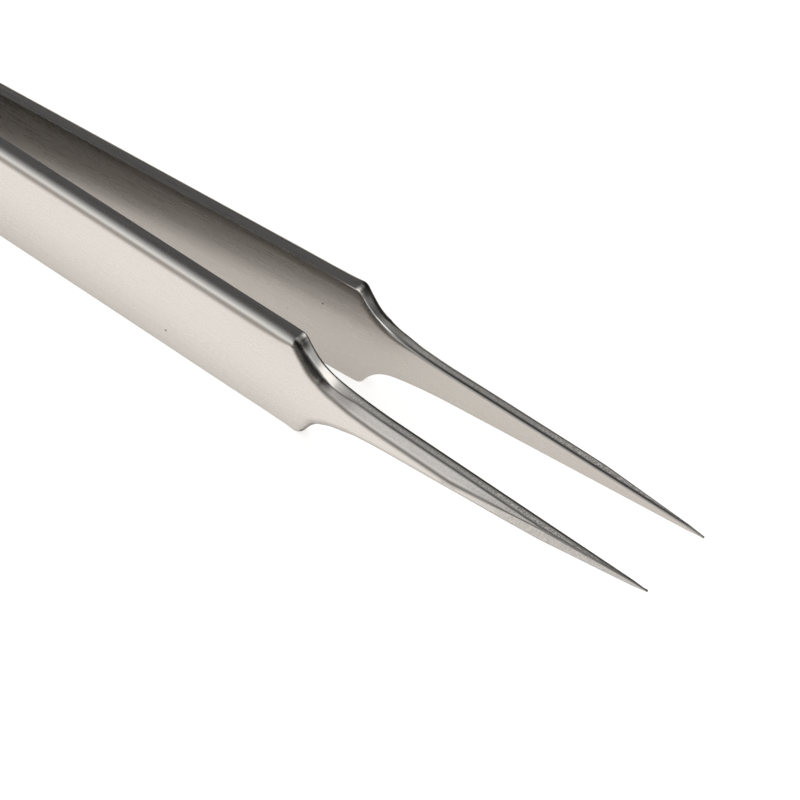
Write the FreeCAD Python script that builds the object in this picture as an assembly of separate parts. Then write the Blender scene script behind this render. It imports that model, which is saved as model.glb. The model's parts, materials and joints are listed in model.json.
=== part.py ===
import FreeCAD, Part
import math
import os

# Fine pointed tweezers: two spring steel arms welded together at the tail.
# The points face +X, the gap opens along Y, and the tweezers lie on the lower edges of their blades.
# Each arm is first worked as a flat strip with its inner face on y = 0, then bent to shape.
# Lengths are in millimetres and angles in degrees.

# The strip that an arm is cut from
arm_length = 110.0
blade_height = 8.5
arm_thickness = 1.25
edge_round = 0.57
inner_edge_break = 0.08

# The welded tail, and the straight blade between it and the shoulder
weld_length = 9.0
tail_height = 6.8
tail_corner_radius = 1.6
grip_length = 45.0
waist_radius = 250.0

# The shoulder, hollowed out from the blade down to the neck, where the point's taper starts
shoulder_margin = 0.2
relief_radius = 4.2
runout_radius = 27.5
runout_sweep = 9.4
neck_height = 2.58

# The point: its two side tapers, its ground outer face and the last bit of the tip
taper_length = 20.2
point_height = 0.3
face_taper_length = 14.8
point_thickness = 0.14
nib_length = 1.2
nib_height = 0.12

# The spring shape, measured between the inner faces
shoulder_gap = 5.0
tip_gap = 5.58
bend_setback = 1.5

# How far the cutting tools and the unfinished blank reach past the steel, and how near two places match
tool_reach = 20.0
spare_length = 6.0
match_tolerance = 1e-4

# The edge round has to follow the shoulder's corner, so that corner is always the larger of the two.
shoulder_radius = edge_round + shoulder_margin

tip_place = arm_length - weld_length
neck_place = tip_place - taper_length
taper_slope = (neck_height - point_height) / 2 / taper_length

middle = FreeCAD.Vector(0, 0, 0)
upwards = FreeCAD.Vector(0, 0, 1)
sideways = FreeCAD.Vector(0, 1, 0)


def side_point(x, z):
    return FreeCAD.Vector(x, 0, z)


def plan_point(x, y):
    return FreeCAD.Vector(x, y, 0)


def heading(start, end):
    """The unit vector from one point towards another."""
    step = end - start
    return step.multiply(1 / step.Length)


def line(start, end):
    return Part.LineSegment(start, end).toShape()


def arc_about(centre, start, end):
    """The short arc from start to end about a centre."""
    crown = heading(middle, heading(centre, start) + heading(centre, end))
    return Part.Arc(start, centre + crown * (start - centre).Length, end).toShape()


def rounded_corner(before, corner, after, radius):
    """The arc that rounds a corner, no longer than the two runs beside it allow."""
    half_turn = heading(before, corner).getAngle(heading(corner, after)) / 2
    shorter_run = min((corner - before).Length, (after - corner).Length)
    trim = min(radius * math.tan(half_turn), shorter_run / 2)
    inwards = heading(heading(before, corner), heading(corner, after))
    centre = corner + inwards * (trim / math.sin(half_turn))
    start = corner + heading(corner, before) * trim
    end = corner + heading(corner, after) * trim
    return arc_about(centre, start, end)


def shoulder_arcs():
    """The shoulder's corner, the relief and the long run-out that meets the point's taper."""
    taper_angle = math.atan(taper_slope)
    runout_angle = taper_angle + math.radians(runout_sweep)
    taper_normal = side_point(math.sin(taper_angle), math.cos(taper_angle))
    runout_normal = side_point(math.sin(runout_angle), math.cos(runout_angle))
    neck = side_point(neck_place, neck_height / 2)
    runout_centre = neck + taper_normal * runout_radius
    foot = runout_centre - runout_normal * runout_radius
    relief_centre = foot + runout_normal * relief_radius
    corner_level = blade_height / 2 - shoulder_radius
    centre_distance = relief_radius + shoulder_radius
    lift = relief_centre.z - corner_level
    corner_centre = side_point(relief_centre.x - math.sqrt(centre_distance ** 2 - lift ** 2), corner_level)
    join = corner_centre + heading(corner_centre, relief_centre) * shoulder_radius
    return [
        arc_about(corner_centre, side_point(corner_centre.x, blade_height / 2), join),
        arc_about(relief_centre, join, foot),
        arc_about(runout_centre, foot, neck),
    ]


def first_point(edge):
    return edge.valueAt(edge.FirstParameter)


def last_point(edge):
    return edge.valueAt(edge.LastParameter)


def mid_point(edge):
    return edge.valueAt((edge.FirstParameter + edge.LastParameter) / 2)


shoulder = shoulder_arcs()
shoulder_place = first_point(shoulder[0]).x
point_length = tip_place - shoulder_place
bend_place = shoulder_place - bend_setback
point_angle = math.degrees(math.asin((tip_gap - shoulder_gap) / 2 / point_length))
bend_offset = shoulder_gap / 2 - bend_setback * math.sin(math.radians(point_angle))
body_angle = math.degrees(math.asin(bend_offset / bend_place))


def upper_path():
    """The edges of the blade's outline, from below the tail over the top to past the point."""
    below_tail = side_point(-weld_length, -tool_reach)
    tail_corner = side_point(-weld_length, tail_height / 2)
    waist = side_point(shoulder_place - grip_length, blade_height / 2)
    neck = last_point(shoulder[-1])
    past_point = neck + side_point(1, -taper_slope) * (taper_length + spare_length)
    tail_arc = rounded_corner(below_tail, tail_corner, waist, tail_corner_radius)
    waist_arc = rounded_corner(tail_corner, waist, first_point(shoulder[0]), waist_radius)
    return [
        line(below_tail, first_point(tail_arc)),
        tail_arc,
        line(last_point(tail_arc), first_point(waist_arc)),
        waist_arc,
        line(last_point(waist_arc), first_point(shoulder[0])),
        *shoulder,
        line(neck, past_point),
    ]


def matching_edges(solid, path, shift):
    """The edges of a solid that lie on a path's edges once these are shifted."""
    targets = [mid_point(edge) + shift for edge in path]
    return [
        edge for edge in solid.Edges
        if any((mid_point(edge) - target).Length < match_tolerance for target in targets)
    ]


def upper_blank():
    """A plate under the upper outline, with its outer edge rounded and its inner edge broken."""
    path = upper_path()
    start = first_point(path[0])
    end = last_point(path[-1])
    below_end = side_point(end.x, start.z)
    outline = Part.Wire([*path, line(end, below_end), line(below_end, start)])
    plate = Part.Face(outline).extrude(sideways * arm_thickness)
    plate = plate.makeFillet(edge_round, matching_edges(plate, path, sideways * arm_thickness))
    return plate.makeChamfer(inner_edge_break, matching_edges(plate, path, middle))


def prism(points, along):
    """A straight prism with a polygon for its base, as far on one side of the base as on the other."""
    block = Part.Face(Part.makePolygon([*points, points[0]])).extrude(along * 2)
    block.translate(-along)
    return block


def beyond(place, lean=0.0):
    """Everything past a cross-section of the strip that leans about its inner face."""
    corner = FreeCAD.Vector(place, -tool_reach, -tool_reach)
    block = Part.makeBox(arm_length + tool_reach, 2 * tool_reach, 2 * tool_reach, corner)
    block.rotate(plan_point(place, 0), upwards, lean)
    return block


def outer_face_grinding():
    """What is ground off the outer face to thin the point."""
    start = plan_point(tip_place - face_taper_length, arm_thickness)
    end = plan_point(tip_place, point_thickness)
    past_end = end + (end - start) * (spare_length / face_taper_length)
    outside = sideways * tool_reach
    return prism([start, past_end, past_end + outside, start + outside], upwards * tool_reach)


def nib_grinding():
    """What is ground off the upper side of the last bit of the point."""
    start = side_point(tip_place - nib_length, point_height / 2 + taper_slope * nib_length)
    end = side_point(tip_place, nib_height / 2)
    above = upwards * tool_reach
    return prism([start, end, end + above, start + above], sideways * tool_reach)


def flat_arm():
    """One arm before it is bent, centred on z = 0, with its weld ending at x = 0."""
    upper = upper_blank()
    blade = upper.common(upper.mirror(middle, upwards))
    upper_nib = nib_grinding()
    lower_nib = upper_nib.mirror(middle, upwards)
    return blade.cut([outer_face_grinding(), upper_nib, lower_nib, beyond(tip_place)])


def bent_arm(flat):
    """The arm in front of the weld: bent in at the shoulder, and out where it leaves the weld."""
    turn = body_angle - point_angle
    grip = flat.cut(beyond(bend_place, -turn / 2))
    point = flat.common(beyond(bend_place, turn / 2))
    point.rotate(plan_point(bend_place, 0), upwards, -turn)
    arm = grip.fuse(point)
    arm.rotate(middle, upwards, body_angle)
    return arm.common(beyond(0))


def welded_tail(flat):
    """The two ends of the arms, joined along the middle."""
    end = flat.cut(beyond(0))
    return end.fuse(end.mirror(middle, sideways))


flat = flat_arm()
left_arm = bent_arm(flat)
nodes = {
    "welded_tail": welded_tail(flat),
    "left_arm": left_arm,
    "right_arm": left_arm.mirror(middle, sideways),
}

# The frame's origin is the middle of the footprint, on the surface that the blades lie on.
grip_reach = bend_place * math.cos(math.radians(body_angle))
point_reach = (tip_place - bend_place) * math.cos(math.radians(point_angle))
centre_place = (grip_reach + point_reach - weld_length) / 2

os.makedirs("parts", exist_ok=True)
for name, solid in nodes.items():
    solid.translate(FreeCAD.Vector(-centre_place, 0, blade_height / 2))
    solid.exportStep(f"parts/{name}.step")
    print(name, "solids", len(solid.Solids), "valid", solid.isValid(), "volume %.2f" % solid.Volume)
print("weld front at x %.3f, shoulder at x %.3f" % (-centre_place, grip_reach - centre_place))
print("blade leaves the weld at %.3f degrees, point at %.3f degrees" % (body_angle, point_angle))
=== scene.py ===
import json
import math

import bmesh
import bpy
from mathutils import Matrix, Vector


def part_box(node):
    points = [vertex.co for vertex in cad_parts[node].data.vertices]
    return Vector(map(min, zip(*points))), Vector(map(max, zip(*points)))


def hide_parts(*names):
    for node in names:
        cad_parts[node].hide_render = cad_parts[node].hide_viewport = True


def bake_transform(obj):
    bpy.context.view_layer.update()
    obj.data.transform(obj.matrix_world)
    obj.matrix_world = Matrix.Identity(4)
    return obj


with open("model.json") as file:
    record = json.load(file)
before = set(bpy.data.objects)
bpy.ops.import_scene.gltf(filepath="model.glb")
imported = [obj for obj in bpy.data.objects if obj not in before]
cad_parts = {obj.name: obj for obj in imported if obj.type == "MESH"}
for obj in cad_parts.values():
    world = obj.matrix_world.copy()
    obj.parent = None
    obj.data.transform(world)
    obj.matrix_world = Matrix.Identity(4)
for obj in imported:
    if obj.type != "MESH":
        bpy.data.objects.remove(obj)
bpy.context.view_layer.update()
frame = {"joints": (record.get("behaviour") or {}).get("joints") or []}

# Fine pointed tweezers: two spring steel arms. Each is worked as a flat strip with its inner face on y = 0
# and its weld ending at x = 0, then bent along the spring line and welded to its twin at the tail.
# Lengths are in metres and angles in radians.
mm = 0.001

# Places and sizes that the frame gives
arm_low, arm_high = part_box("left_arm")
tail_low, tail_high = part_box("welded_tail")
weld_front = frame["joints"][0]["pos_m"][0]
blade_height = arm_high.z - arm_low.z
middle_height = (arm_high.z + arm_low.z) / 2
tail_height = tail_high.z - tail_low.z
weld_length = weld_front - tail_low.x

# The strip
arm_thickness = 1.25 * mm
edge_round = 0.57 * mm
tail_corner_radius = 1.6 * mm
tip_place = 101.0 * mm
grip_length = 45.0 * mm
waist_radius = 250.0 * mm

# The shoulder and the point
shoulder_margin = 0.2 * mm
relief_radius = 4.2 * mm
runout_radius = 27.5 * mm
runout_sweep = math.radians(9.4)
neck_height = 2.58 * mm
taper_length = 20.2 * mm
point_height = 0.3 * mm
face_taper_length = 14.8 * mm
point_thickness = 0.14 * mm
nib_length = 1.2 * mm
nib_height = 0.12 * mm

# The worked edge: a crisp inner corner, the flat, a ridge arc, the bevel, and a cheek arc to the outer face.
# On the blade the two arcs make one soft round. Past the shoulder the ridge sharpens and the bevel opens.
# Each stage is how far it lies past the shoulder, then the radius of the inner corner, the fall of the flat
# across the strip, the ridge's radius, the bevel's lean and its width, and the cheek's radius. Only here
# the lengths are in millimetres and the lean is in degrees.
edge_stages = (
    (-3.0, 0.004, 0.00, 0.65, 60, 0.00, 1.20),
    (-1.0, 0.01, 0.00, 0.68, 56, 0.00, 0.85),
    (0.1, 0.06, 0.00, 0.60, 44, 0.00, 0.58),
    (0.8, 0.12, 0.02, 0.60, 45, 0.00, 0.62),
    (2.0, 0.18, 0.12, 0.60, 55, 0.00, 0.95),
    (3.4, 0.16, 0.15, 0.14, 50, 0.22, 1.00),
    (6.0, 0.12, 0.06, 0.05, 48, 0.58, 0.86),
)

# The least width of flat that the bevel leaves, and the cheek's radius where the point is thin
flat_kept = 0.66 * mm
cheek_fades = (0.85 * mm, 1.25 * mm)
tip_cheek = 0.2 * mm
tip_cheek_share = 0.25

# The band of coarser grinding along the flat of the point, and on its ground outer face. The band's soft
# edges have these depths, or these shares of the steel's thickness where it is thin.
coarse_begins = (2.5 * mm, 5.0 * mm)
coarse_inner = (0.16 * mm, 0.30 * mm)
coarse_inner_shares = (0.40, 0.50)
coarse_outer = (0.16 * mm, 0.06 * mm)
coarse_outer_shares = (0.16, 0.08)
point_coarse = 0.5
bevel_coarse = 0.4
face_coarse = 0.4
face_coarse_fades = (0.02 * mm, 0.40 * mm)

# Painted shade: fine dark lines where two ground faces of the point meet, standing in for the dark
# reflections along these ridges
lines_begin = (2.0 * mm, 4.0 * mm)
line_shade = 0.69
cheek_line = 0.3
sharp_cheeks = (0.2 * mm, 0.8 * mm)

# Painted shade: a dark line beside the point's inner corner, standing in for its dark reflection
inner_line_begins = (2.0 * mm, 4.5 * mm)
inner_line_depth = (0.12 * mm, 0.34 * mm)
inner_line_shade = 0.8

# Painted shade in the hollow of the shoulder, standing in for the dark reflections there: where it starts, is
# full, starts to fade and has gone
corner_painted_shade_span = (-0.1 * mm, 0.3 * mm, 0.6 * mm, 1.2 * mm)
ridge_painted_shade_span = (0.3 * mm, 1.2 * mm, 2.6 * mm, 4.0 * mm)
bevel_painted_shade_span = (1.0 * mm, 2.2 * mm, 3.2 * mm, 6.5 * mm)
corner_depth = (0.1 * mm, 0.5 * mm)
corner_shade = 0.95
ridge_shade = 0.75
bevel_shade = 0.33

# Tiny dark pits, two in the far arm's inner face and one in the near arm's outer face: places and radii,
# and the share of a radius that is wholly dark
pits = (
    ((24.37 * mm, 2.447 * mm, 5.51 * mm), 0.10 * mm),
    ((21.36 * mm, 2.342 * mm, 3.23 * mm), 0.045 * mm),
    ((15.73 * mm, -3.398 * mm, 1.98 * mm), 0.105 * mm),
)
pit_core = 0.4
pit_tone = (0.04, 0.04, 0.04, 1)

# The patterns in the steel: how finely each repeats along X, Y and Z, or all ways alike, and its detail
grain_scale = (250, 5000, 5000)
grain_detail = 3.0
streak_scale = (60, 900, 900)
streak_detail = 1.0
cloud_scale = 160.0
cloud_detail = 2.0
speckle_scale = 11000.0
speckle_detail = 2.0
speckle_range = (0.38, 0.62)

# How much each pattern stands out in the relief, the roughness and the shine
grain_relief = 0.03
streak_relief = 0.25
speckle_relief = 0.8
relief_height = 0.03 * mm
satin_roughness = 0.24
grain_roughness = 0.08
coarse_roughness = 0.50
coarse_dullness = 0.5

# The steel's colours: clear and clouded satin, light and dark speckles of coarse grinding, and the painted
# shade of the point's lines and the shoulder's hollow
clear_satin_tone = (0.73, 0.70, 0.67, 1)
clouded_satin_tone = (0.745, 0.73, 0.70, 1)
light_speckle_tone = (0.98, 0.96, 0.93, 1)
dark_speckle_tone = (0.44, 0.42, 0.40, 1)
painted_shade_tone = (0.05, 0.048, 0.045, 1)
painted_shade_share = 0.9

# The spring line
shoulder_gap = 5.0 * mm
tip_gap = 5.58 * mm
bend_setback = 1.5 * mm
weld_bend_reach = 3.0 * mm
shoulder_bend_reach = 5.0 * mm
seam_gap = 0.004 * mm

# How finely the steel is divided
body_step = 0.5 * mm
corner_step = 0.04 * mm
relief_step = 0.1 * mm
point_step = 0.25 * mm
nib_step = 0.1 * mm
line_step = 0.25 * mm
corner_parts = 3
flat_parts = 9
ridge_parts = 6
bevel_parts = 5
cheek_parts = 8
face_parts = 10
weld_distance = 1e-7

shoulder_radius = edge_round + shoulder_margin
neck_place = tip_place - taper_length
taper_slope = (neck_height - point_height) / 2 / taper_length
quarter = math.pi / 2


def smooth_step(value, low, high):
    """Nothing up to the low value, one from the high value on, and a soft rise between them."""
    share = min(1.0, max(0.0, (value - low) / (high - low)))
    return share * share * (3 - 2 * share)


def hump(value, rise, full, fade, gone):
    """Rises from nothing to one, and falls again."""
    return smooth_step(value, rise, full) * (1 - smooth_step(value, fade, gone))


def between(start, end, count):
    """Evenly spaced values from start to end, both included, with count gaps."""
    return [start + (end - start) * i / count for i in range(count + 1)]


class Outline:
    """The strip's upper edge seen from the side: points, each with the direction out of the steel."""

    def __init__(self, place, height, outwards):
        self.points = [(Vector((place, height)), outwards)]

    def arc(self, centre, radius, start, end, size, hollow=False):
        """Goes on along a circle, from one angle at its centre to another. A hollow one curves in."""
        count = max(2, round(abs(end - start) * radius / size))
        for angle in between(start, end, count)[1:]:
            spoke = Vector((math.cos(angle), math.sin(angle)))
            self.points.append((centre + radius * spoke, -spoke if hollow else spoke))

    def run(self, end, size):
        """Goes on along a straight line."""
        start = self.points[-1][0]
        along = end - start
        outwards = Vector((-along.y, along.x)).normalized()
        count = max(2, round(along.length / size))
        for share in between(0.0, 1.0, count)[1:]:
            self.points.append((start + along * share, outwards))


# The three circles of the shoulder, worked out backwards from where the point's taper starts
taper_angle = math.atan(taper_slope)
runout_angle = taper_angle + runout_sweep
neck = Vector((neck_place, neck_height / 2))
runout_centre = neck + runout_radius * Vector((math.sin(taper_angle), math.cos(taper_angle)))
runout_spoke = Vector((math.sin(runout_angle), math.cos(runout_angle)))
relief_centre = runout_centre - runout_spoke * (runout_radius - relief_radius)
corner_level = blade_height / 2 - shoulder_radius
centre_distance = relief_radius + shoulder_radius
centre_lift = relief_centre.y - corner_level
corner_centre = Vector((relief_centre.x - math.sqrt(centre_distance ** 2 - centre_lift ** 2), corner_level))
join_angle = math.atan2(centre_lift, relief_centre.x - corner_centre.x)

shoulder_place = corner_centre.x
bend_place = shoulder_place - bend_setback
point_angle = math.asin((tip_gap - shoulder_gap) / 2 / (tip_place - shoulder_place))
body_angle = math.asin((shoulder_gap / 2 - bend_setback * math.sin(point_angle)) / bend_place)


def upper_outline():
    """The strip's upper edge, from half way up the tail's end to the tip."""
    tail_corner = Vector((-weld_length, tail_height / 2))
    waist = Vector((shoulder_place - grip_length, blade_height / 2))
    waist_slope = math.atan2(waist.y - tail_corner.y, waist.x - tail_corner.x)
    tail_trim = tail_corner_radius * math.tan((quarter - waist_slope) / 2)
    tail_centre = tail_corner + Vector((tail_corner_radius, -tail_trim))
    waist_trim = waist_radius * math.tan(waist_slope / 2)
    waist_start = waist - (waist - tail_corner).normalized() * waist_trim
    waist_centre = waist + Vector((waist_trim, -waist_radius))
    outline = Outline(-weld_length, tail_centre.y, Vector((-1, 0)))
    outline.arc(tail_centre, tail_corner_radius, math.pi, quarter + waist_slope, relief_step)
    outline.run(waist_start, body_step)
    outline.arc(waist_centre, waist_radius, quarter + waist_slope, quarter, body_step)
    outline.run(Vector((shoulder_place, blade_height / 2)), body_step)
    outline.arc(corner_centre, shoulder_radius, quarter, join_angle, corner_step)
    foot_angle = -quarter - runout_angle
    neck_angle = -quarter - taper_angle
    outline.arc(relief_centre, relief_radius, join_angle - math.pi, foot_angle, relief_step, hollow=True)
    outline.arc(runout_centre, runout_radius, foot_angle, neck_angle, point_step, hollow=True)
    nib_start = Vector((tip_place - nib_length, point_height / 2 + taper_slope * nib_length))
    outline.run(nib_start, point_step)
    outline.run(Vector((tip_place, nib_height / 2)), nib_step)
    return outline.points


def ground_thickness(place):
    """The strip's thickness, where its outer face is ground down towards the tip."""
    share = max(0.0, 1 - (tip_place - place) / face_taper_length)
    return arm_thickness + (point_thickness - arm_thickness) * share


def edge_stage(past):
    """The edge's measures at a distance past the shoulder, in metres and radians."""
    before = max([stage for stage in edge_stages if stage[0] * mm <= past], default=edge_stages[0])
    after = min([stage for stage in edge_stages if stage[0] * mm > past], default=edge_stages[-1])
    share = 0.0 if before == after else smooth_step(past, before[0] * mm, after[0] * mm)
    corner, fall, ridge, lean, width, cheek = [a + (b - a) * share for a, b in zip(before[1:], after[1:])]
    return corner * mm, fall * mm, ridge * mm, math.radians(lean), width * mm, cheek * mm


def edge_section(place):
    """The section of the strip's edge at a place, from the inner face round to the outer face.

    Each point is a depth from the inner face, an inset from the outline, how coarsely it is ground and how
    much painted shade it carries, from the fine dark lines and the dark patches in the shoulder's hollow.
    """
    past = place - shoulder_place
    thickness = ground_thickness(place)
    corner, fall, ridge, lean, width, cheek = edge_stage(past)
    face_ground = smooth_step(arm_thickness - thickness, *face_coarse_fades)
    if thickness < arm_thickness:
        small_cheek = min(tip_cheek, tip_cheek_share * thickness)
        cheek = small_cheek + (cheek - small_cheek) * smooth_step(thickness, *cheek_fades)
    arcs_depth = ridge * math.sin(lean) + cheek * (1 - math.sin(lean))
    width = min(width, max(0.0, (thickness - flat_kept - arcs_depth) / math.cos(lean)))
    flat_end = thickness - arcs_depth - width * math.cos(lean)
    coarse = smooth_step(past, *coarse_begins) * (point_coarse + (1 - point_coarse) * face_ground)
    inner_band = [min(depth, share * thickness) for depth, share in zip(coarse_inner, coarse_inner_shares)]
    outer_band = [min(depth, share * thickness) for depth, share in zip(coarse_outer, coarse_outer_shares)]

    # Painted shade, standing in for dark reflections: fine lines along the point's ridges and beside its
    # inner corner, and dark patches in the shoulder's hollow
    lines = line_shade * smooth_step(past, *lines_begin)
    corner_dark = corner_shade * hump(past, *corner_painted_shade_span)
    ridge_dark = max(corner_dark, ridge_shade * hump(past, *ridge_painted_shade_span))
    bevel_dark = bevel_shade * hump(past, *bevel_painted_shade_span)
    cheek_dark = lines * (1 - (1 - cheek_line) * smooth_step(cheek, *sharp_cheeks))
    inner_dark = inner_line_shade * smooth_step(past, *inner_line_begins)

    section = []
    for turn in between(0.0, quarter, corner_parts):
        dark = inner_dark * turn / quarter
        section.append((corner * (1 - math.cos(turn)), corner * (1 - math.sin(turn)), 0.0, dark))
    for depth in between(corner, flat_end, flat_parts)[1:]:
        band = smooth_step(depth, *inner_band) * smooth_step(flat_end - depth, outer_band[1], outer_band[0])
        inner_line = inner_dark * (1 - smooth_step(depth, *inner_line_depth))
        flat_painted_shade = corner_dark * smooth_step(depth, *corner_depth)
        section.append((depth, 0.0, coarse * band, max(inner_line, flat_painted_shade)))
    dark = max(lines, ridge_dark)
    for turn in between(0.0, lean, ridge_parts)[1:]:
        section.append((flat_end + ridge * math.sin(turn), ridge * (1 - math.cos(turn)), 0.0, dark))
    depth, inset, _, _ = section[-1]
    for share in between(0.0, 1.0, bevel_parts)[1:]:
        deeper = depth + width * share * math.cos(lean)
        lower = inset + width * share * math.sin(lean)
        section.append((deeper, lower, coarse * bevel_coarse, max(bevel_dark, ridge_dark * (1 - share))))
    depth, inset, _, _ = section[-1]
    for share in between(0.0, 1.0, cheek_parts)[1:]:
        turn = lean + (quarter - lean) * share
        deeper = depth + cheek * (math.sin(turn) - math.sin(lean))
        lower = inset + cheek * (math.cos(lean) - math.cos(turn))
        dark = max(cheek_dark * math.sin(math.pi * share), bevel_dark * (1 - share))
        section.append((deeper, lower, face_ground * face_coarse, dark))
    return [(depth, inset + fall * depth / arm_thickness, band, dark) for depth, inset, band, dark in section]


def flat_arm():
    """The mesh of one arm before it is bent, made of patches between its edges and its two broad faces."""
    upper = []
    for spot, outwards in upper_outline():
        row = []
        for depth, inset, coarse, dark in edge_section(spot.x):
            edge = spot - outwards * inset
            row.append(Vector((edge.x, depth, edge.y, coarse, dark)))
        upper.append(row)
    lower = [[Vector((*point[:2], -point[2], *point[3:])) for point in row] for row in upper]
    form = bmesh.new()
    coarseness = form.verts.layers.float.new("coarseness")
    # Each point's painted shade, which darkens the steel's colour
    painted_shade = form.verts.layers.float.new("painted_shade")

    def corner(point):
        made = form.verts.new(point[:3])
        made[coarseness] = point[3]
        made[painted_shade] = point[4]
        return made

    def patch(rows):
        made = [[corner(point) for point in row] for row in rows]
        for row, following in zip(made, made[1:]):
            for a, b, c, d in zip(row, row[1:], following[1:], following):
                form.faces.new((a, b, c, d))

    def fill(first, second):
        """A patch between two lines of points, one above the other."""
        shares = between(0.0, 1.0, face_parts)
        patch([[a.lerp(b, share) for share in shares] for a, b in zip(first, second)])

    patch(upper)
    patch(lower)
    fill([row[0] for row in upper], [row[0] for row in lower])
    fill([row[-1] for row in upper], [row[-1] for row in lower])
    fill(upper[0], lower[0])
    fill(upper[-1], lower[-1])
    bmesh.ops.remove_doubles(form, verts=form.verts, dist=weld_distance)
    bmesh.ops.recalc_face_normals(form, faces=form.faces)
    mesh = bpy.data.meshes.new("flat_arm")
    form.to_mesh(mesh)
    form.free()
    mesh.shade_smooth()
    return mesh


def spring_line():
    """An arm's inner face seen from above: straight, but for slow bends at the weld and the shoulder."""
    def turned(place, bend, reach):
        """How much of a bend is done at a place."""
        return min(1.0, max(0.0, (place - bend + reach) / 2 / reach))

    place = -weld_length
    spot = Vector((weld_front - weld_length, seam_gap / 2, middle_height))
    points = [spot.copy()]
    while place < tip_place:
        middle = place + line_step / 2
        heading = body_angle * turned(middle, 0.0, weld_bend_reach)
        heading += (point_angle - body_angle) * turned(middle, bend_place, shoulder_bend_reach)
        spot += Vector((math.cos(heading), math.sin(heading), 0)) * line_step
        points.append(spot.copy())
        place += line_step
    return points


def placed(name, data):
    """A new object in the scene."""
    made = bpy.data.objects.new(name, data)
    bpy.context.scene.collection.objects.link(made)
    return made


def line_object(name, points):
    """A curve of straight steps through the points."""
    data = bpy.data.curves.new(name, "CURVE")
    data.dimensions = "3D"
    spline = data.splines.new("POLY")
    spline.points.add(len(points) - 1)
    for target, point in zip(spline.points, points):
        target.co = (*point, 1)
    return placed(name, data)


class Value:
    """A socket that takes part in sums, each of which adds its Math node."""

    def __init__(self, tree, socket):
        self.tree = tree
        self.socket = socket

    def outputs(self, *names):
        """The named outputs of the same node."""
        return [Value(self.tree, self.socket.node.outputs[name]) for name in names]

    def sum(self, operation, first, second):
        return self.tree.add("ShaderNodeMath", {"operation": operation}, {0: first, 1: second})

    def __add__(self, other):
        return self.sum("ADD", self, other)

    __radd__ = __add__

    def __sub__(self, other):
        return self.sum("SUBTRACT", self, other)

    def __rsub__(self, other):
        return self.sum("SUBTRACT", other, self)

    def __mul__(self, other):
        return self.sum("MULTIPLY", self, other)

    __rmul__ = __mul__


class Tree:
    """A node tree, and the one method that adds nodes to it."""

    def __init__(self, nodes):
        self.nodes = nodes

    def add(self, kind, settings=None, inputs=None, output=0):
        """Adds a node, sets it up, then gives its sockets their values or links."""
        node = self.nodes.nodes.new(kind)
        for name, setting in (settings or {}).items():
            setattr(node, name, setting)
        for name, given in (inputs or {}).items():
            if isinstance(given, Value):
                self.nodes.links.new(given.socket, node.inputs[name])
            else:
                node.inputs[name].default_value = given
        return Value(self, node.outputs[output]) if node.outputs else node


def emptied_tree(owner):
    """The node tree of a material or a world, without any nodes."""
    owner.use_nodes = True
    owner.node_tree.nodes.clear()
    return Tree(owner.node_tree)


def mixed(tree, share, first, second):
    """A colour between two others. A Mix node's colours are its inputs 6 and 7 and its output 2."""
    return tree.add("ShaderNodeMix", {"data_type": "RGBA"}, {0: share, 6: first, 7: second}, 2)


def ramp(tree, value, start, end, softness="SMOOTHSTEP"):
    """Nothing up to the start and one past the end, with a rise between them."""
    inputs = {"Value": value, "From Min": start, "From Max": end}
    return tree.add("ShaderNodeMapRange", {"interpolation_type": softness}, inputs)


def bending_tree():
    """Geometry nodes that lay a flat arm along a line, on either side of the middle plane."""
    group = bpy.data.node_groups.new("Lay along spring line", "GeometryNodeTree")
    sockets = {
        "Strip": "NodeSocketGeometry",
        "Spring line": "NodeSocketObject",
        "Strip start": "NodeSocketFloat",
        "Side": "NodeSocketFloat",
        "Steel": "NodeSocketMaterial",
    }
    for name, kind in sockets.items():
        group.interface.new_socket(name, in_out="INPUT", socket_type=kind)
    group.interface.new_socket("Arm", in_out="OUTPUT", socket_type="NodeSocketGeometry")
    tree = Tree(group)
    strip, line, start, side, steel = tree.add("NodeGroupInput").outputs(*sockets)
    place = tree.add("GeometryNodeInputPosition")
    along, depth, height = tree.add("ShaderNodeSeparateXYZ", {}, {0: place}).outputs("X", "Y", "Z")
    curve = tree.add("GeometryNodeObjectInfo", {"transform_space": "ORIGINAL"}, {"Object": line}, "Geometry")
    sample = tree.add(
        "GeometryNodeSampleCurve", {"mode": "LENGTH", "use_all_curves": False},
        {"Curves": curve, "Length": along - start},
    )
    spot, tangent = sample.outputs("Position", "Tangent")
    across = tree.add("ShaderNodeVectorMath", {"operation": "CROSS_PRODUCT"}, {0: (0, 0, 1), 1: tangent})
    shift = tree.add("ShaderNodeVectorMath", {"operation": "SCALE"}, {0: across, "Scale": depth})
    raised = tree.add("ShaderNodeCombineXYZ", {}, {"Z": height})
    laid = tree.add("ShaderNodeVectorMath", {"operation": "ADD"}, {0: spot, 1: shift})
    laid = tree.add("ShaderNodeVectorMath", {"operation": "ADD"}, {0: laid, 1: raised})
    mirror = tree.add("ShaderNodeCombineXYZ", {}, {"X": 1.0, "Y": side, "Z": 1.0})
    laid = tree.add("ShaderNodeVectorMath", {"operation": "MULTIPLY"}, {0: laid, 1: mirror})
    bent = tree.add("GeometryNodeSetPosition", {}, {"Geometry": strip, "Position": laid})
    turned = tree.add("GeometryNodeFlipFaces", {}, {"Mesh": bent})
    mirrored = tree.add("FunctionNodeCompare", {"operation": "LESS_THAN"}, {0: side, 1: 0.0})
    arm = tree.add(
        "GeometryNodeSwitch", {"input_type": "GEOMETRY"},
        {"Switch": mirrored, "False": bent, "True": turned},
    )
    arm = tree.add("GeometryNodeRealizeInstances", {}, {"Geometry": arm})
    arm = tree.add("GeometryNodeSetMaterial", {}, {"Geometry": arm, "Material": steel})
    tree.add("NodeGroupOutput", {}, {"Arm": arm})
    return group


def socket_identifier(group, name):
    """What a modifier calls one of the group's named inputs."""
    return next(item.identifier for item in group.interface.items_tree if item.name == name)


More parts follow.
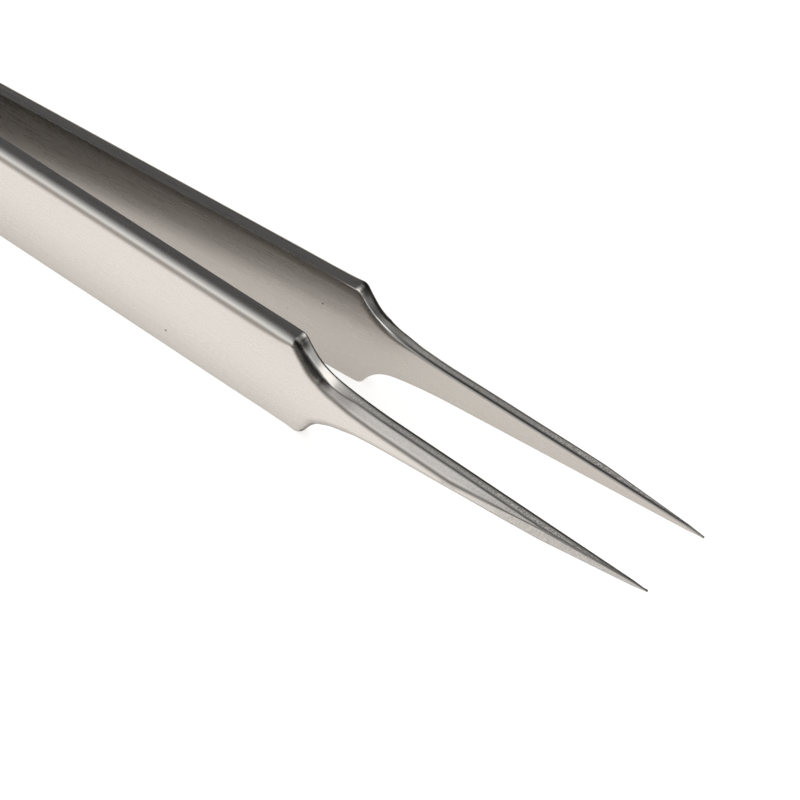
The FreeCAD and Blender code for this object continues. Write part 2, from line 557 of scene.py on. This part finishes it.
def laid_arm(name, strip, group, line, side, steel):
    """One arm: the strip bent along its spring line, with its normals weighted towards the flats."""
    source = placed(name + "_strip", strip)
    bend = source.modifiers.new("Bend", "NODES")
    bend.node_group = group
    settings = {"Spring line": line, "Strip start": -weld_length, "Side": side, "Steel": steel}
    for key, setting in settings.items():
        bend[socket_identifier(group, key)] = setting
    source.modifiers.new("Flats", "WEIGHTED_NORMAL").keep_sharp = True
    depsgraph = bpy.context.evaluated_depsgraph_get()
    mesh = bpy.data.meshes.new_from_object(source.evaluated_get(depsgraph), depsgraph=depsgraph)
    mesh.name = name
    bpy.data.objects.remove(source)
    return placed(name, mesh)


def satin_steel():
    """Stainless steel with a satin lengthwise grain, coarse in places on the points, painted shade on their
    ridges and in the shoulder's hollow, and the pits.
    """
    material = bpy.data.materials.new("satin_steel")
    tree = emptied_tree(material)
    spot = tree.add("ShaderNodeTexCoord", {}, {}, "Object")
    coarse = tree.add("ShaderNodeAttribute", {"attribute_name": "coarseness"}, {}, "Fac")
    dark = tree.add("ShaderNodeAttribute", {"attribute_name": "painted_shade"}, {}, "Fac")
    stretched = tree.add("ShaderNodeMapping", {}, {"Vector": spot, "Scale": grain_scale})
    grain = tree.add("ShaderNodeTexNoise", {}, {"Vector": stretched, "Scale": 1.0, "Detail": grain_detail})
    drawn = tree.add("ShaderNodeMapping", {}, {"Vector": spot, "Scale": streak_scale})
    streak = tree.add("ShaderNodeTexNoise", {}, {"Vector": drawn, "Scale": 1.0, "Detail": streak_detail})
    cloud, speckle = [
        tree.add("ShaderNodeTexNoise", {}, {"Vector": spot, "Scale": scale, "Detail": detail})
        for scale, detail in ((cloud_scale, cloud_detail), (speckle_scale, speckle_detail))
    ]
    relief = grain_relief * grain + streak_relief * streak + speckle_relief * coarse * speckle
    bump = tree.add("ShaderNodeBump", {}, {"Height": relief, "Strength": 1.0, "Distance": relief_height})
    roughness = satin_roughness + grain_roughness * grain + coarse_roughness * coarse
    satin = mixed(tree, cloud, clear_satin_tone, clouded_satin_tone)
    ground = mixed(tree, ramp(tree, speckle, *speckle_range), light_speckle_tone, dark_speckle_tone)
    tone = mixed(tree, coarse, satin, ground)
    # Painted shade: darkens the colour along the point's ridges and inner corner and in the shoulder's
    # hollow, standing in for dark reflections
    tone = mixed(tree, painted_shade_share * dark, tone, painted_shade_tone)
    for place, radius in pits:
        apart = tree.add("ShaderNodeVectorMath", {"operation": "DISTANCE"}, {0: spot, 1: place}, "Value")
        inside = ramp(tree, apart, radius, pit_core * radius, "LINEAR")
        tone = mixed(tree, inside, tone, pit_tone)
    metallic = 1 - coarse_dullness * coarse
    steel = tree.add(
        "ShaderNodeBsdfPrincipled", {},
        {"Base Color": tone, "Metallic": metallic, "Roughness": roughness, "Normal": bump},
    )
    tree.add("ShaderNodeOutputMaterial", {}, {"Surface": steel})
    return material


def make_tweezers():
    """The two arms, each with its half of the tail, made in place of the frame's arms and tail, which are
    hidden.
    """
    strip = flat_arm()
    steel = satin_steel()
    line = line_object("spring_line", spring_line())
    group = bending_tree()
    for body, side in (("left_arm", 1.0), ("right_arm", -1.0)):
        arm = laid_arm(body.replace("arm", "blade"), strip, group, line, side, steel)
        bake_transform(arm)
        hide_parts("welded_tail", body)
    bpy.data.objects.remove(line)


# The camera looks down at the points from their front right
camera_azimuth = math.radians(39.85)
camera_elevation = math.radians(46.07)
camera_distance = 260.0 * mm
camera_lens = 183.35
camera_sensor = 36.0
camera_clip = (0.01, 20.0)
camera_target = Vector((32.91, 0, 4.11)) * mm


def make_camera():
    data = bpy.data.cameras.new("camera")
    data.lens = camera_lens
    data.sensor_width = camera_sensor
    data.clip_start, data.clip_end = camera_clip
    camera = placed("camera", data)
    back = Vector((
        math.sin(camera_azimuth) * math.cos(camera_elevation),
        -math.cos(camera_azimuth) * math.cos(camera_elevation),
        math.sin(camera_elevation),
    ))
    camera.location = camera_target + back * camera_distance
    camera.rotation_euler = (-back).to_track_quat("-Z", "Y").to_euler()
    bpy.context.scene.camera = camera


# The floor, with its own colour, those that the steel's reflections see and the one that the camera sees
floor_size = 4.0
floor_sides = 96
floor_drop = 0.02 * mm
floor_tone = (0.90, 0.875, 0.85, 1)
# A painted shadow: the darker floor colour that the steel's reflections see between the arms
painted_shadow_floor_tone = (0.66, 0.628, 0.596, 1)
far_floor_tone = (0.30, 0.28, 0.26, 1)
dim_floor_tone = (0.06, 0.055, 0.05, 1)
seen_floor_tone = (0.90, 0.895, 0.885, 1)

# How strongly the floor glows in the steel's first reflections, and to the camera
floor_lift = 0.77
floor_glow = 0.84
first_reflection_depth = 1.5

# Where its colours change: sideways from the middle, outwards in a long oval, and towards the points
painted_shadow_floor_reach = (2.0 * mm, 7.0 * mm)
far_floor = (8.0 * mm, 26.0 * mm)
oval_scale = (0.15, 1.0, 1.0)
dim_floor = (5.0 * mm, 35.0 * mm)


def make_floor():
    """A plain white floor that keeps a soft shadow.

    In the steel's reflections it carries a painted shadow between the arms, and darkens again with
    distance, the more so towards the points.
    """
    form = bmesh.new()
    bmesh.ops.create_circle(form, cap_ends=True, segments=floor_sides, radius=floor_size / 2)
    mesh = bpy.data.meshes.new("floor")
    form.to_mesh(mesh)
    form.free()
    floor = placed("floor", mesh)
    floor.location.z = -floor_drop
    material = bpy.data.materials.new("floor")
    tree = emptied_tree(material)
    path = tree.add("ShaderNodeLightPath")
    seen, mirrored, bounces = path.outputs("Is Camera Ray", "Is Glossy Ray", "Glossy Depth")
    spot = tree.add("ShaderNodeTexCoord", {}, {}, "Object")
    squeezed = tree.add("ShaderNodeMapping", {}, {"Vector": spot, "Scale": oval_scale})
    reach = tree.add("ShaderNodeVectorMath", {"operation": "LENGTH"}, {0: squeezed}, "Value")
    along, across = tree.add("ShaderNodeSeparateXYZ", {}, {0: spot}).outputs("X", "Y")
    aside = tree.add("ShaderNodeMath", {"operation": "ABSOLUTE"}, {0: across})
    clear = ramp(tree, aside, *painted_shadow_floor_reach)
    far = ramp(tree, reach, *far_floor)
    dim = ramp(tree, along, *dim_floor)
    depths = {0: bounces, 1: first_reflection_depth}
    first_reflection = tree.add("ShaderNodeMath", {"operation": "LESS_THAN"}, depths) * mirrored
    # A painted shadow between the arms, seen only in the steel's reflections
    tone = mixed(tree, (1 - clear) * mirrored, floor_tone, painted_shadow_floor_tone)
    tone = mixed(tree, far * mirrored, tone, far_floor_tone)
    tone = mixed(tree, dim * far * mirrored, tone, dim_floor_tone)
    tone = mixed(tree, seen, tone, seen_floor_tone)
    paper = tree.add("ShaderNodeBsdfDiffuse", {}, {"Color": tone})
    strength = first_reflection * floor_lift + seen * floor_glow
    lift = tree.add("ShaderNodeEmission", {}, {"Color": tone, "Strength": strength})
    both = tree.add("ShaderNodeAddShader", {}, {0: paper, 1: lift})
    tree.add("ShaderNodeOutputMaterial", {}, {"Surface": both})
    mesh.materials.append(material)


# The studio: a white tent that darkens towards the horizon, with screens that draw the edges of the steel.
# A screen has its direction, the cosines of its soft rim and of its core, its colour, and how it softens.
tent_tone = (1.10, 1.10, 1.10, 1)
horizon_tone = (0.60, 0.582, 0.558, 1)
horizon_heights = (0.0, 0.33)
screens = (
    ((-0.445, 0.45, 0.77), 0.05, 1.0, (0.05, 0.05, 0.053, 1), "LINEAR"),
    ((0.86, -0.44, 0.26), 0.78, 0.92, (0.04, 0.04, 0.042, 1), "SMOOTHSTEP"),
    ((0.35, -0.46, 0.81), 0.86, 0.95, (0.04, 0.04, 0.042, 1), "SMOOTHSTEP"),
    ((0.30, -0.90, 0.30), 0.85, 0.94, (0.12, 0.11, 0.10, 1), "SMOOTHSTEP"),
    ((0.90, 0.42, -0.02), 0.93, 0.99, (0.20, 0.19, 0.18, 1), "SMOOTHSTEP"),
    ((0.35, 0.80, 0.42), 0.76, 0.91, (0.04, 0.04, 0.042, 1), "SMOOTHSTEP"),
    ((-0.30, 0.93, 0.10), 0.85, 0.95, (0.04, 0.04, 0.042, 1), "SMOOTHSTEP"),
    ((0.28, 0.25, 0.93), 0.87, 0.975, (1.5, 1.48, 1.45, 1), "SMOOTHSTEP"),
)


def make_studio():
    """The light around the steel, and the plain white that the camera sees."""
    world = bpy.data.worlds.new("studio")
    tree = emptied_tree(world)
    bpy.context.scene.world = world
    direction = tree.add("ShaderNodeTexCoord", {}, {}, "Generated")
    height = tree.add("ShaderNodeSeparateXYZ", {}, {0: direction}, "Z")
    sky = mixed(tree, ramp(tree, height, *horizon_heights), horizon_tone, tent_tone)
    for aim, rim, core, colour, softness in screens:
        inputs = {0: direction, 1: Vector(aim).normalized()}
        facing = tree.add("ShaderNodeVectorMath", {"operation": "DOT_PRODUCT"}, inputs, "Value")
        sky = mixed(tree, ramp(tree, facing, rim, core, softness), sky, colour)
    studio = tree.add("ShaderNodeBackground", {}, {"Color": sky, "Strength": 1.0})
    white = tree.add("ShaderNodeBackground", {}, {"Color": (1, 1, 1, 1), "Strength": 1.0})
    seen = tree.add("ShaderNodeLightPath", {}, {}, "Is Camera Ray")
    both = tree.add("ShaderNodeMixShader", {}, {0: seen, 1: studio, 2: white})
    tree.add("ShaderNodeOutputWorld", {}, {"Surface": both})


make_tweezers()
make_camera()
make_floor()
make_studio()
bpy.context.scene.view_settings.view_transform = "Standard"
